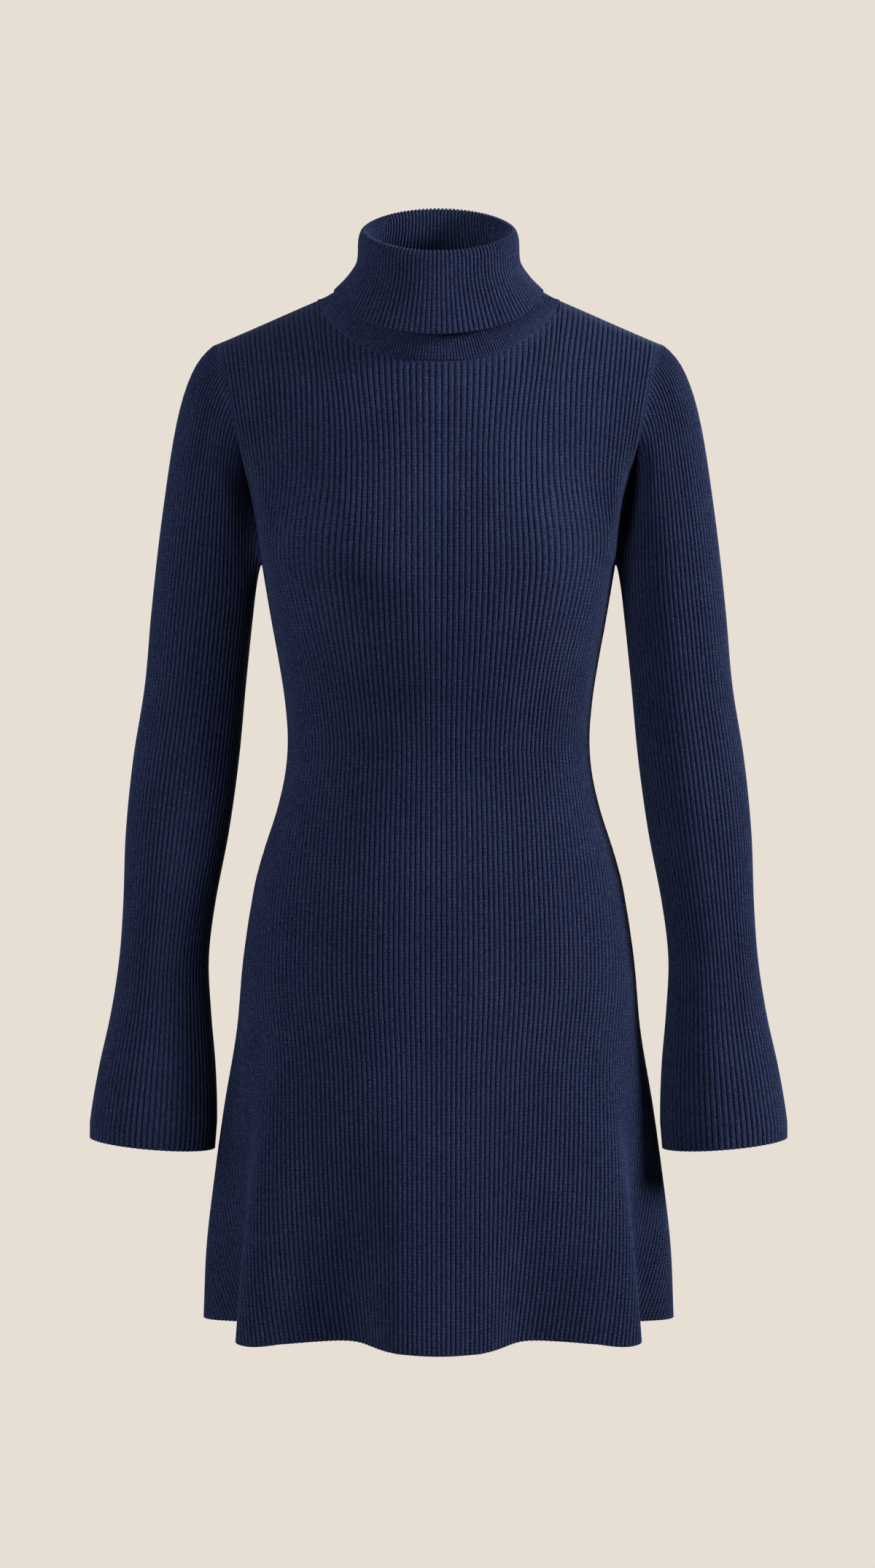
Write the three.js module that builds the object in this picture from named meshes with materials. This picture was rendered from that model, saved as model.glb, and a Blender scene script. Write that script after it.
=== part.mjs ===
// A short sweater dress in rib knit, filled out as it is when worn, in millimetres.
// +Z is up, the front faces -Y, and the dress is the same on its -X and +X sides.
// The origin lies between the shoulders, at the height where the neck meets them.
// Every piece is an open wall of cloth, with ribs raised on the side that shows and a plain side within.
// One raised rib stands for two ribs of the knit, so that the solids stay light.

import * as THREE from "three";
import { mergeVertices } from "three/addons/utils/BufferGeometryUtils.js";

// Cloth
const CLOTH = 2.6;
const RIB_HEIGHT = 0.9;
const SEAM_GAP = 0.3;
const INNER_STEP = 4;
const KNIT_NAVY = 0x202540;

// Ribs of the knit in half a panel, counted from the centre line
const RIBS_AT_WAIST = 44;
const RIBS_TO_ARMHOLE = 40;
const RIBS_TO_NECK = 20;
const RIBS_IN_SLEEVE = 68;
const RIBS_IN_COLLAR = 120;
const RIB_ENDS_AT_NECK = [18.5, 19.3, 19.7, 19.9];
const LEAST_END = 0.25;

// Heights that divide the body
const UNDERARM = -219;
const WAIST = -362;
const HEM = -839;
const HEM_LIFT = 3;
const HEM_DROP = 3;

const named = (names, rows) => rows.map((row) => Object.fromEntries(names.map((name, i) => [name, row[i]])));

// Plan sections of the body: half its width, and its depth before and behind the side seams
const BODY = named(
  ["height", "halfWidth", "front", "back"],
  [
    [UNDERARM, 143.6, 115, 94],
    [-258, 136.9, 112, 92],
    [-300, 129.4, 104, 86],
    [-330, 125, 97, 82],
    [WAIST, 122.9, 92, 80],
    [-392, 125.6, 93, 83],
    [-422, 132.8, 95, 90],
    [-452, 142.6, 98, 97],
    [-481, 150.4, 101, 103],
    [-541, 159.9, 106, 110],
    [-601, 165.6, 112, 116],
    [-661, 175.7, 120, 123],
    [-720, 184.1, 128, 131],
    [-780, 191.2, 135, 139],
    [HEM, 194, 141, 147],
  ],
);
const SECTION_POWER = 2.15;

// The front swells over the chest on each side of the centre line: its place, its reach and its depth
const CHEST = { across: 80, height: -190, inward: 80, outward: 60, above: 95, below: 64, depth: 10 };

// Rib pitch below the waist
const PITCH = named(
  ["height", "pitch"],
  [
    [-422, 4.1],
    [-541, 4.25],
    [-630, 3.95],
    [HEM, 3.85],
  ],
);

// How far the shoulders and the caps of the sleeves are drawn in, and from where to where that grows
const DRAWN_IN = named(
  ["height", "by"],
  [
    [-270, 0],
    [-215, 0.9],
    [-150, 2.6],
    [-76, 2.9],
    [-46, 3.3],
    [-17, 4.2],
    [20, 4.4],
  ],
);
const DRAWN_FROM = 90;
const DRAWN_WHOLE = 190;

// Soft folds of the skirt: angle from the centre line, half width, depth at the hem, and height of the start
const FRONT_FOLDS = named(
  ["angle", "spread", "depth", "start"],
  [
    [0, 22, 5, -640],
    [34, 22, -25, -640],
    [57, 14, 11, -560],
    [73, 14, -28, -570],
  ],
);
const BACK_FOLDS = named(
  ["angle", "spread", "depth", "start"],
  [
    [0, 16, -12, -640],
    [24, 14, 9, -600],
    [46, 17, -20, -630],
    [66, 12, 10, -570],
    [79, 10, -16, -590],
  ],
);
const FOLD_RISE = 1.3;
const FOLD_END = 4;

// Shoulder seam from the neck to the armhole, and the share of the way up to its line where the neckline cuts
const NECK_POINT = new THREE.Vector3(98, 4, -5);
const SHOULDER_POINT = new THREE.Vector3(180, 4, -39);
const NECK_CUT = { front: { depth: 0.345, power: 1 }, back: { depth: 0.22, power: 0.8 } };
const NECK_TILT = { front: 22, side: 67.5, back: 36 };
const LOOP_POWER = 1.2;
const ROOF_ROUNDING = 25;

// How far the cloth at the armhole seam leans out towards the sleeve, at the underarm and at the shoulder
const SEAM_LEAN = { underarm: 0.25, shoulder: 0.7 };

// How each rib leaves the underarm section and reaches the line of the shoulder seam
const LEAVING = named(
  ["rib", "rise", "forward", "spread"],
  [
    [0, 54, 3, 0],
    [20, 54, 4, 3],
    [30, 50, 14, 5],
    [36, 38, 30, 7],
    [40, 31, 42, 7],
  ],
);
const FRONT_ARRIVING = named(
  ["rib", "drop", "forward", "inward"],
  [
    [-10, 40, 80, 0],
    [0, 49, 89, 0],
    [10, 40, 80, 0],
    [20, 22, 64, 0],
    [30, 13, 58, 2],
    [40, 9, 54, 3],
  ],
);
const BACK_ARRIVING = named(
  ["rib", "drop", "forward", "inward"],
  [
    [-10, 4, 88, 0],
    [0, 12, 104, 0],
    [10, 4, 88, 0],
    [20, 7, 66, 0],
    [30, 8, 56, 2],
    [40, 9, 52, 3],
  ],
);

// Sleeve: plan sections from the foot of the cap to the cuff
const CUFF = -692.5;
const ARM = named(
  ["height", "centre", "halfWidth", "halfDepth", "setBack"],
  [
    [-258, 192, 41.6, 45, 2],
    [-317, 197.8, 41.2, 44, 1],
    [-377, 205.6, 43.2, 43, -1],
    [-437, 213, 42.1, 41, -4],
    [-496, 219.9, 37.6, 38, -7],
    [-541, 224.3, 36.7, 36, -9],
    [-586, 227, 41.2, 40, -10],
    [-631, 230.3, 48, 45, -11],
    [-675, 233.6, 52.2, 48, -12],
    [CUFF, 234.6, 51.4, 48, -12],
  ],
);
const CUFF_SLANT = 4.5;
const CUFF_LIFT = 3;
const CAP_START = 0.165;
const CAP_END = 0.5;
const CAP_SHARE = 0.64;

// Collar: loops of the middle of its cloth, from the neckline up inside, over the rim and down outside
const COLLAR = named(
  ["halfWidth", "front", "side", "back", "frontHeight", "sideHeight", "backHeight"],
  [
    [97.3, -70.2, 4, 62, -48.4, -6.2, 3],
    [87, -68.5, 3, 61, -37, -3.2, 12],
    [74, -65.5, 2, 59, -22, 2.5, 23],
    [64, -62, 1, 57, -4, 11, 35],
    [58.6, -58.6, 0, 55.4, 16, 25, 49],
    [56.8, -56.6, 0, 54, 30.5, 44.5, 62],
    [60.4, -60.2, 0, 57.6, 35, 50.5, 66.5],
    [63.4, -64.4, 0, 61.4, 29.5, 43.5, 60.5],
    [64.8, -69, 0, 65, 13, 25, 45],
    [73, -76, 0, 72, -8, 12, 28],
    [83.7, -84, 0, 80, -29, 1.6, 13],
  ],
);

// Rows of the solids
const SKIRT_HEIGHTS = [HEM, -780, -710, -640, -560, -481, -422, WAIST, -300, -258, UNDERARM];
const YOKE_STEPS = 5;
const CAP_STEPS = [0, 0.16, 0.4, 0.7, 1];
const ARM_HEIGHTS = [-340, -430, -500, -541, -586, -631, -675];

const RING_STEPS = 180;
const NUDGE = 1e-3;
const radians = THREE.MathUtils.degToRad;
const clamp = THREE.MathUtils.clamp;

// A function that reads a table at any place along one of its columns, by smooth curves through its rows.
function reader(rows, along) {
  const names = Object.keys(rows[0]).filter((name) => name !== along);
  const last = rows.length - 1;
  const slope = (name, i) => {
    const before = rows[Math.max(i - 1, 0)];
    const after = rows[Math.min(i + 1, last)];
    return (after[name] - before[name]) / (after[along] - before[along]);
  };
  return (place) => {
    const falling = rows[1][along] < rows[0][along];
    const passed = (row) => (falling ? place < row[along] : place > row[along]);
    let i = 0;
    while (i < last - 1 && passed(rows[i + 1])) i += 1;
    const span = rows[i + 1][along] - rows[i][along];
    const t = clamp((place - rows[i][along]) / span, 0, 1);
    const blend = t * t * (3 - 2 * t);
    const read = (name) =>
      rows[i][name] * (1 - blend) +
      rows[i + 1][name] * blend +
      span * t * (1 - t) * ((1 - t) * slope(name, i) - t * slope(name, i + 1));
    return Object.fromEntries(names.map((name) => [name, read(name)]));
  };
}

const bodyAt = reader(BODY, "height");
const drawnInAt = reader(DRAWN_IN, "height");
const pitchAt = reader(PITCH, "height");
const leavingAt = reader(LEAVING, "rib");
const arrivingAt = { front: reader(FRONT_ARRIVING, "rib"), back: reader(BACK_ARRIVING, "rib") };
const armAt = reader(ARM, "height");
const collarAt = reader(COLLAR.map((row, step) => ({ step, ...row })), "step");

const FACES = {
  front: { sign: -1, folds: FRONT_FOLDS },
  back: { sign: 1, folds: BACK_FOLDS },
};

// How far the folds move a point of the skirt in or out, at an angle in degrees from the centre line.
function foldDepth(folds, angle, height) {
  const parts = folds.map(({ angle: middle, spread, depth, start }) => {
    const grown = clamp((start - height) / (start - HEM), 0, 1) ** FOLD_RISE;
    const across = clamp((angle - middle) / spread, -1, 1);
    return depth * grown * Math.cos((across * Math.PI) / 2) ** 2;
  });
  return parts.reduce((sum, part) => sum + part, 0);
}

// A quarter of a plan section from the centre line to the side seam, with its length so far at each point.
const quarters = new Map();
function quarter(face, height) {
  const key = face + height;
  if (quarters.has(key)) return quarters.get(key);
  const { halfWidth, [face]: depth } = bodyAt(height);
  const { sign, folds } = FACES[face];
  const points = [];
  let length = 0;
  for (let i = 0; i <= RING_STEPS; i += 1) {
    const angle = (i / RING_STEPS) * 90;
    const sine = Math.sin(radians(angle));
    const cosine = i === RING_STEPS ? 0 : Math.cos(radians(angle));
    const round =
      ((sine / halfWidth) ** SECTION_POWER + (cosine / depth) ** SECTION_POWER) ** (-1 / SECTION_POWER);
    const reach = round + foldDepth(folds, angle, height) * Math.min(1, (90 - angle) / FOLD_END);
    const point = new THREE.Vector3(reach * sine, sign * reach * cosine, height);
    if (i > 0) length += point.distanceTo(points[i - 1].point);
    points.push({ length, point });
  }
  quarters.set(key, points);
  return points;
}

// The number of ribs of the knit between the centre line and the side seam.
function ribsAt(face, height) {
  if (height >= WAIST) return RIBS_AT_WAIST;
  const around = quarter(face, height)[RING_STEPS].length;
  const waistPitch = quarter(face, WAIST)[RING_STEPS].length / RIBS_AT_WAIST;
  const first = PITCH[0];
  if (height > first.height) {
    const share = (WAIST - height) / (WAIST - first.height);
    return around / THREE.MathUtils.lerp(waistPitch, first.pitch, share);
  }
  return around / pitchAt(height).pitch;
}

// A point of a plan section, by its share of the way from the centre line to the side seam.
function sectionPoint(face, share, height) {
  const points = quarter(face, height);
  const length = Math.min(Math.abs(share), 1) * points[RING_STEPS].length;
  let i = 1;
  while (i < RING_STEPS && points[i].length < length) i += 1;
  const [a, b] = [points[i - 1], points[i]];
  const point = a.point.clone().lerp(b.point, (length - a.length) / (b.length - a.length));
  if (share < 0) point.x = -point.x;
  return point;
}

// Moves a point of the front out by the swell of the chest.
function swollen(face, point) {
  if (face === "back") return point;
  const over = Math.abs(point.x) - CHEST.across;
  const rise = point.z - CHEST.height;
  const across = clamp(over / (over > 0 ? CHEST.outward : CHEST.inward), -1, 1);
  const along = clamp(rise / (rise > 0 ? CHEST.above : CHEST.below), -1, 1);
  point.y -= CHEST.depth * (Math.cos((across * Math.PI) / 2) * Math.cos((along * Math.PI) / 2)) ** 2;
  return point;
}

// A point of the body below the underarm, by its share of the way from the centre line to the side seam.
function bodyPoint(face, share, height) {
  return swollen(face, sectionPoint(face, share, height));
}

// A point on a loop round the neck. Angle 0 is its front, 90 degrees its +X side and 180 degrees its back.
function loopPoint(loop, angle) {
  const sine = Math.sin(angle);
  const cosine = Math.cos(angle);
  const end = cosine > 0 ? "front" : "back";
  const share = Math.abs(cosine);
  return new THREE.Vector3(
    loop.halfWidth * sine,
    loop.side + (loop[end] - loop.side) * share,
    loop.sideHeight + (loop[end + "Height"] - loop.sideHeight) * share ** LOOP_POWER,
  );
}

// A point of the neckline seam, at an angle as on a loop.
function necklinePoint(angle) {
  return yokePoint(Math.cos(angle) > 0 ? "front" : "back", RIBS_TO_NECK * Math.sin(angle), 1);
}

// The neckline seam at an angle: its point, the cloth's outward normal there, and the way up into the collar.
function necklineAt(angle) {
  const point = necklinePoint(angle);
  const along = necklinePoint(angle + NUDGE).sub(necklinePoint(angle - NUDGE)).normalize();
  const tilted = Math.cos(angle) > 0 ? NECK_TILT.front : NECK_TILT.back;
  const tilt = radians(THREE.MathUtils.lerp(NECK_TILT.side, tilted, Math.cos(angle) ** 2));
  const flat = Math.cos(tilt);
  const normal = new THREE.Vector3(flat * Math.sin(angle), -flat * Math.cos(angle), Math.sin(tilt));
  normal.addScaledVector(along, -normal.dot(along)).normalize();
  return { point, normal, away: new THREE.Vector3().crossVectors(normal, along) };
}

// Where a rib reaches the straight line of the shoulder seam, which runs on over the neck to a rounded top.
function shoulderLine(rib) {
  const closer = (2 * NECK_POINT.x - SHOULDER_POINT.x) / (2 * RIBS_TO_NECK ** 2);
  const x = rib * (NECK_POINT.x / RIBS_TO_NECK + closer * (RIBS_TO_NECK - rib));
  const share = (place) => (place - NECK_POINT.x) / (SHOULDER_POINT.x - NECK_POINT.x);
  const point = NECK_POINT.clone().lerp(SHOULDER_POINT, share(x));
  const rounded = x + (Math.hypot(x, ROOF_ROUNDING) - x) * clamp(-share(x), 0, 1);
  point.z = THREE.MathUtils.lerp(NECK_POINT.z, SHOULDER_POINT.z, share(rounded));
  return point;
}

// The share of the way up to that line where a rib ends.
function cutShare(face, rib) {
  const across = Math.min(Math.abs(rib) / RIBS_TO_NECK, 1);
  const { depth, power } = NECK_CUT[face];
  return 1 - depth * (1 - across ** 2) ** (power / 2);
}

function neckAngle(face, rib) {
  const angle = Math.asin(clamp(rib / RIBS_TO_NECK, -1, 1));
  return face === "front" ? angle : Math.PI - angle;
}

// A point on a smooth curve with two end points and two guides.
function bezier(a, b, c, d, t) {
  const s = 1 - t;
  return new THREE.Vector3()
    .addScaledVector(a, s * s * s)
    .addScaledVector(b, 3 * s * s * t)
    .addScaledVector(c, 3 * s * t * t)
    .addScaledVector(d, t * t * t);
}

// A point of the yoke's surface, on a rib from the underarm section to the line of the shoulder seam.
function yokeSurface(face, rib, rise) {
  const { sign } = FACES[face];
  const place = Math.abs(rib);
  const foot = sectionPoint(face, place / RIBS_AT_WAIST, UNDERARM);
  const top = shoulderLine(place);
  const leave = leavingAt(place);
  const arrive = arrivingAt[face](place);
  const low = foot.clone().add(new THREE.Vector3(leave.spread, sign * leave.forward, leave.rise));
  const high = top.clone().add(new THREE.Vector3(-arrive.inward, sign * arrive.forward, -arrive.drop));
  const point = bezier(foot, low, high, top, rise);
  if (rib < 0) point.x = -point.x;
  return swollen(face, point);
}

// The same, with the rise measured to where the rib ends.
function yokePoint(face, rib, rise) {
  return yokeSurface(face, rib, rise * cutShare(face, rib));
}

// The outward normal of a surface given as a function of two numbers.
function normalOf(surface, a, b, aRange, bRange) {
  const step = (value, [low, high], size) => [Math.max(value - size, low), Math.min(value + size, high)];
  const [aLow, aHigh] = step(a, aRange, (aRange[1] - aRange[0]) * NUDGE);
  const [bLow, bHigh] = step(b, bRange, (bRange[1] - bRange[0]) * NUDGE);
  const across = surface(aHigh, b).sub(surface(aLow, b));
  const along = surface(a, bHigh).sub(surface(a, bLow));
  return across.cross(along).normalize();
}

function bodyNormal(face, share, height) {
  const surface = (s, h) => bodyPoint(face, s, h);
  const normal = normalOf(surface, share, height, [-1, 1], [HEM, UNDERARM]);
  if (face === "back") normal.negate();
  if (Math.abs(share) >= 1) normal.setY(0).normalize();
  return normal;
}

function yokeNormal(face, rib, rise) {
  const surface = (r, t) => yokeSurface(face, r, t);
  const share = rise * cutShare(face, rib);
  const normal = normalOf(surface, rib, share, [-RIBS_TO_ARMHOLE, RIBS_TO_ARMHOLE], [0, 1]);
  return face === "back" ? normal.negate() : normal;
}

// The armhole seam on the +X side, from the shoulder point round the front and the underarm to the back.
// Each station has the seam's point, the normal that body and sleeve share, and the way into the sleeve.
function armholeStations() {
  const stations = [];
  const add = (face, rib, rise) => {
    const point = rise > 0 ? yokePoint(face, rib, rise) : bodyPoint(face, rib / RIBS_AT_WAIST, UNDERARM);
    const body = rise > 0 ? yokeNormal(face, rib, rise) : bodyNormal(face, rib / RIBS_AT_WAIST, UNDERARM);
    stations.push({ face, rib, rise, point, body });
  };
  for (let i = YOKE_STEPS; i > 0; i -= 1) add("front", RIBS_TO_ARMHOLE, i / YOKE_STEPS);
  for (let rib = RIBS_TO_ARMHOLE; rib <= RIBS_AT_WAIST; rib += 1) add("front", rib, 0);
  for (let rib = RIBS_AT_WAIST - 1; rib >= RIBS_TO_ARMHOLE; rib -= 1) add("back", rib, 0);
  for (let i = 1; i < YOKE_STEPS; i += 1) add("back", RIBS_TO_ARMHOLE, i / YOKE_STEPS);

  const count = stations.length;
  const middle = new THREE.Vector3();
  stations.forEach(({ point }) => middle.addScaledVector(point, 1 / count));
  stations.forEach((station, i) => {
    const before = stations[(i + count - 1) % count].point;
    const after = stations[(i + 1) % count].point;
    const along = after.clone().sub(before).normalize();
    const outward = station.point.clone().sub(middle).setX(0).normalize();
    const height = (2 * (station.point.z - UNDERARM)) / (SHOULDER_POINT.z - UNDERARM);
    const lean = THREE.MathUtils.lerp(SEAM_LEAN.underarm, SEAM_LEAN.shoulder, clamp(height, 0, 1));
    const normal = station.body.clone().addScaledVector(outward, lean);
    if (station.rise === 1) normal.copy(shoulderNormal());
    normal.addScaledVector(along, -normal.dot(along)).normalize();
    station.normal = normal;
    station.away = new THREE.Vector3().crossVectors(normal, along).normalize();
  });
  return stations;
}

function shoulderNormal() {
  const along = SHOULDER_POINT.clone().sub(NECK_POINT).normalize();
  return new THREE.Vector3(-along.z, 0, along.x);
}

const ARMHOLE = armholeStations();

function stationAt(face, rib, rise) {
  const matches = (s) => s.rib === Math.abs(rib) && Math.abs(s.rise - rise) < NUDGE;
  const shared = (s) => s.rise === 1 || s.rib === RIBS_AT_WAIST;
  const found = ARMHOLE.find((s) => matches(s) && (s.face === face || shared(s)));
  if (rib > 0) return found;
  const mirrored = (v) => new THREE.Vector3(-v.x, v.y, v.z);
  return { point: mirrored(found.point), normal: mirrored(found.normal), away: mirrored(found.away) };
}

// The height of the raised ribs at a place counted in ribs of the knit, from 0 in a groove to 1 on a crest.
function crest(place) {
  const within = Math.abs(place) % 2;
  return 1 - Math.abs(within - 1);
}

// A point of the wall: on its ribbed side, or on the plain side within.
function wallPoint({ point, normal, away, shift }, side, height) {
  const depth = side === "plain" ? CLOTH : RIB_HEIGHT * (1 - height);
  const moved = point.clone().addScaledVector(normal, -depth);
  if (away) moved.addScaledVector(away, -SEAM_GAP / 2);
  return moved.add(shift);
}

// One row of a panel: the places along it, and where each lies.
function places(end, step, extra = []) {
  const half = [];
  for (let place = step; place < end - LEAST_END; place += step) half.push(place);
  half.push(...extra.filter((place) => place < end));
  half.push(end);
  half.sort((a, b) => a - b);
  return [...half.map((place) => -place).reverse(), 0, ...half];
}

function lowerRow(face, height, side, shift) {
  const end = ribsAt(face, height);
  const step = side === "plain" ? INNER_STEP : 1;
  return places(end, step).map((place) => {
    const share = place / end;
    const onEdge = Math.abs(share) === 1;
    const onArmhole = height === UNDERARM && Math.abs(place) >= RIBS_TO_ARMHOLE;
    const where = onArmhole
      ? stationAt(face, place, 0)
      : { point: bodyPoint(face, share, height), normal: bodyNormal(face, share, height) };
    const point = where.point.clone();
    if (height === HEM) point.z += hemLift(face, point);
    return { place, point: wallPoint({ ...where, point, shift }, side, onEdge ? 0 : crest(place)) };
  });
}

// How far the hem lies higher in its valleys and lower on its ridges.
function hemLift(face, point) {
  const angle = THREE.MathUtils.radToDeg(Math.atan2(Math.abs(point.x), Math.abs(point.y)));
  const depths = FACES[face].folds.map(({ depth }) => depth);
  const fold = foldDepth(FACES[face].folds, angle, HEM);
  const drop = HEM_DROP * Math.max(0, fold / Math.max(...depths));
  return HEM_LIFT * Math.max(0, fold / Math.min(...depths)) - drop;
}

function yokeRow(face, rise, side, shift) {
  const atTop = rise === 1;
  const step = side === "plain" && !atTop ? INNER_STEP : 1;
  const extra = atTop ? RIB_ENDS_AT_NECK : [];
  return places(RIBS_TO_ARMHOLE, step, extra).map((place) => {
    const where = yokeEdge(face, place, rise);
    return { place, point: wallPoint({ ...where, shift }, side, crest(place)) };
  });
}

function yokeEdge(face, place, rise) {
  const rib = Math.abs(place);
  if (rib === RIBS_TO_ARMHOLE) return stationAt(face, place, rise);
  const point = yokePoint(face, place, rise);
  if (rise < 1) return { point, normal: yokeNormal(face, place, rise) };
  if (rib <= RIBS_TO_NECK) {
    const angle = neckAngle(face, place);
    const { normal, away } = necklineAt(angle);
    return { point, normal, away };
  }
  const normal = shoulderNormal();
  if (place < 0) normal.x = -normal.x;
  return { point, normal };
}

// Adds a strip of triangles between two rows of points, each in order of its places.
function addStrip(corners, lower, upper) {
  let i = 0;
  let j = 0;
  while (i < lower.length - 1 || j < upper.length - 1) {
    const lowerLeft = i < lower.length - 1;
    const lowerNext = j === upper.length - 1 || (lowerLeft && lower[i + 1].place <= upper[j + 1].place);
    const third = lowerNext ? lower[i + 1] : upper[j + 1];
    corners.push(lower[i].point, third.point, upper[j].point);
    if (lowerNext) i += 1;
    else j += 1;
  }
}

// Adds both sides of a wall between its first row and its last.
function addWall(corners, ribbed, plain) {
  for (let i = 0; i + 1 < ribbed.length; i += 1) {
    addStrip(corners, ribbed[i], ribbed[i + 1]);
    addStrip(corners, plain[i + 1], plain[i]);
  }
}

// Adds the edges of a wall that run from row to row, at its first and last places.
function addSides(corners, ribbed, plain) {
  const edge = (rows, index) => rows.map((row, place) => ({ place, point: row.at(index).point }));
  addStrip(corners, edge(ribbed, 0), edge(plain, 0));
  addStrip(corners, edge(plain, -1), edge(ribbed, -1));
}

// A point where the shoulders and the caps of the sleeves are drawn in.
function drawnIn({ x, y, z }) {
  const share = THREE.MathUtils.smoothstep(Math.abs(x), DRAWN_FROM, DRAWN_WHOLE);
  return [x - Math.sign(x) * drawnInAt(z).by * share, y, z];
}

function geometryOf(corners, reversed = false) {
  const values = [];
  for (let i = 0; i < corners.length; i += 3) {
    const [a, b, c] = corners.slice(i, i + 3);
    const triangle = reversed ? [a, c, b] : [a, b, c];
    triangle.forEach((corner) => values.push(...drawnIn(corner)));
  }
  const geometry = new THREE.BufferGeometry();
  geometry.setAttribute("position", new THREE.Float32BufferAttribute(values, 3));
  const merged = mergeVertices(geometry, NUDGE);
  merged.computeVertexNormals();
  return merged;
}

function panel(face) {
  const shift = new THREE.Vector3(0, (FACES[face].sign * SEAM_GAP) / 2, 0);
  const corners = [];
  const lower = {};
  const yoke = {};
  for (const side of ["ribbed", "plain"]) {
    lower[side] = SKIRT_HEIGHTS.map((height) => lowerRow(face, height, side, shift));
    const inside = ({ place }) => Math.abs(place) <= RIBS_TO_ARMHOLE;
    yoke[side] = [lower[side].at(-1).filter(inside)];
    for (let i = 1; i <= YOKE_STEPS; i += 1) yoke[side].push(yokeRow(face, i / YOKE_STEPS, side, shift));
  }
  for (const rows of [lower, yoke]) {
    addWall(corners, rows.ribbed, rows.plain);
    addSides(corners, rows.ribbed, rows.plain);
  }
  addStrip(corners, lower.plain[0], lower.ribbed[0]);
  addStrip(corners, yoke.ribbed.at(-1), yoke.plain.at(-1));
  const underarms = [({ place }) => place <= -RIBS_TO_ARMHOLE, ({ place }) => place >= RIBS_TO_ARMHOLE];
  for (const underarm of underarms) {
    addStrip(corners, lower.ribbed.at(-1).filter(underarm), lower.plain.at(-1).filter(underarm));
  }
  return geometryOf(corners, face === "back");
}

// A point of the arm of the sleeve. Rib 0 runs down its outer side, and the next ones lie before it.
function armPoint(rib, height) {
  const { centre, halfWidth, halfDepth, setBack } = armAt(height);
  const angle = (rib / RIBS_IN_SLEEVE) * 2 * Math.PI;
  const x = centre + halfWidth * Math.cos(angle);
  return new THREE.Vector3(x, setBack - halfDepth * Math.sin(angle), height);
}

// The armhole seam by length, and the place in it where a rib of the sleeve ends.
const seamLengths = ARMHOLE.reduce(
  (sums, { point }, i) => [...sums, sums[i] + point.distanceTo(ARMHOLE[(i + 1) % ARMHOLE.length].point)],
  [0],
);
const underarmIndex = ARMHOLE.findIndex(({ rib }) => rib === RIBS_AT_WAIST);
const frontLength = seamLengths[underarmIndex];
const wholeLength = seamLengths.at(-1);
const halfRibs = RIBS_IN_SLEEVE / 2;
const spacing = (share) => CAP_SHARE * share + (1 - CAP_SHARE) * share ** 3;

function seamLengthOf(rib) {
  if (rib <= halfRibs) return frontLength * spacing(rib / halfRibs);
  return wholeLength - (wholeLength - frontLength) * spacing((RIBS_IN_SLEEVE - rib) / halfRibs);
}

// The rib that ends at a length along the armhole seam, found by halving.
function ribEndingAt(length) {
  let low = 0;
  let high = RIBS_IN_SLEEVE;
  while (high - low > NUDGE / 10) {
    const middle = (low + high) / 2;
    if (seamLengthOf(middle) < length) low = middle;
    else high = middle;
  }
  return (low + high) / 2;
}

function seamAt(rib) {
  const length = clamp(seamLengthOf(rib), 0, wholeLength);
  let i = 0;
  while (i < ARMHOLE.length - 1 && seamLengths[i + 1] < length) i += 1;
  const t = (length - seamLengths[i]) / (seamLengths[i + 1] - seamLengths[i]);
  const [a, b] = [ARMHOLE[i], ARMHOLE[(i + 1) % ARMHOLE.length]];
  const mix = (name) => a[name].clone().lerp(b[name], t);
  return { point: mix("point"), normal: mix("normal"), away: mix("away") };
}

function capPoint(rib, rise) {
  const { point: start, away } = seamAt(rib);
  const end = armPoint(rib, ARM[0].height);
  const below = armPoint(rib, ARM[1].height);
  const reach = start.distanceTo(end);
  const low = start.clone().addScaledVector(away, CAP_START * reach);
  const high = end.clone().addScaledVector(end.clone().sub(below).normalize(), CAP_END * reach);
  return bezier(start, low, high, end, rise);
}

function sleeveRow(surface, along, range, side) {
  const step = side === "plain" ? INNER_STEP : 1;
  const row = [];
  for (let rib = 0; rib <= RIBS_IN_SLEEVE; rib += step) {
    const turn = rib % RIBS_IN_SLEEVE;
    const around = (r, a) => surface((r + RIBS_IN_SLEEVE) % RIBS_IN_SLEEVE, a);
    const normal = normalOf(around, turn, along, [-RIBS_IN_SLEEVE, RIBS_IN_SLEEVE], range);
    row.push({
      place: rib,
      point: wallPoint({ point: surface(turn, along), normal, shift: new THREE.Vector3() }, side, crest(rib)),
    });
  }
  return row;
}

// The first row of the sleeve follows the armhole seam, with a point at each of the seam's corners.
function seamRow(side) {
  const ends = ARMHOLE.map((_, i) => ribEndingAt(seamLengths[i]));
  const whole = Array.from({ length: RIBS_IN_SLEEVE + 1 }, (_, rib) => rib);
  const near = (rib) => ends.some((end) => Math.abs(end - rib) < LEAST_END);
  const ribs = [0, ...whole.slice(1, -1).filter((rib) => !near(rib)), ...ends.slice(1), RIBS_IN_SLEEVE];
  return ribs
    .sort((a, b) => a - b)
    .map((place) => {
      const { point, normal, away } = seamAt(place % RIBS_IN_SLEEVE);
      const gap = away.clone().negate();
      const height = ends.includes(place) ? 0 : crest(place);
      const where = { point, normal, away: gap, shift: new THREE.Vector3() };
      return { place, point: wallPoint(where, side, height) };
    });
}

function cuffPoint(rib, down) {
  const last = ARM_HEIGHTS.at(-1);
  const angle = (rib / RIBS_IN_SLEEVE) * 2 * Math.PI;
  const edge = armPoint(rib, CUFF);
  edge.z += CUFF_SLANT * Math.cos(angle) + CUFF_LIFT * Math.sin(angle);
  return armPoint(rib, last).lerp(edge, down);
}

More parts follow.
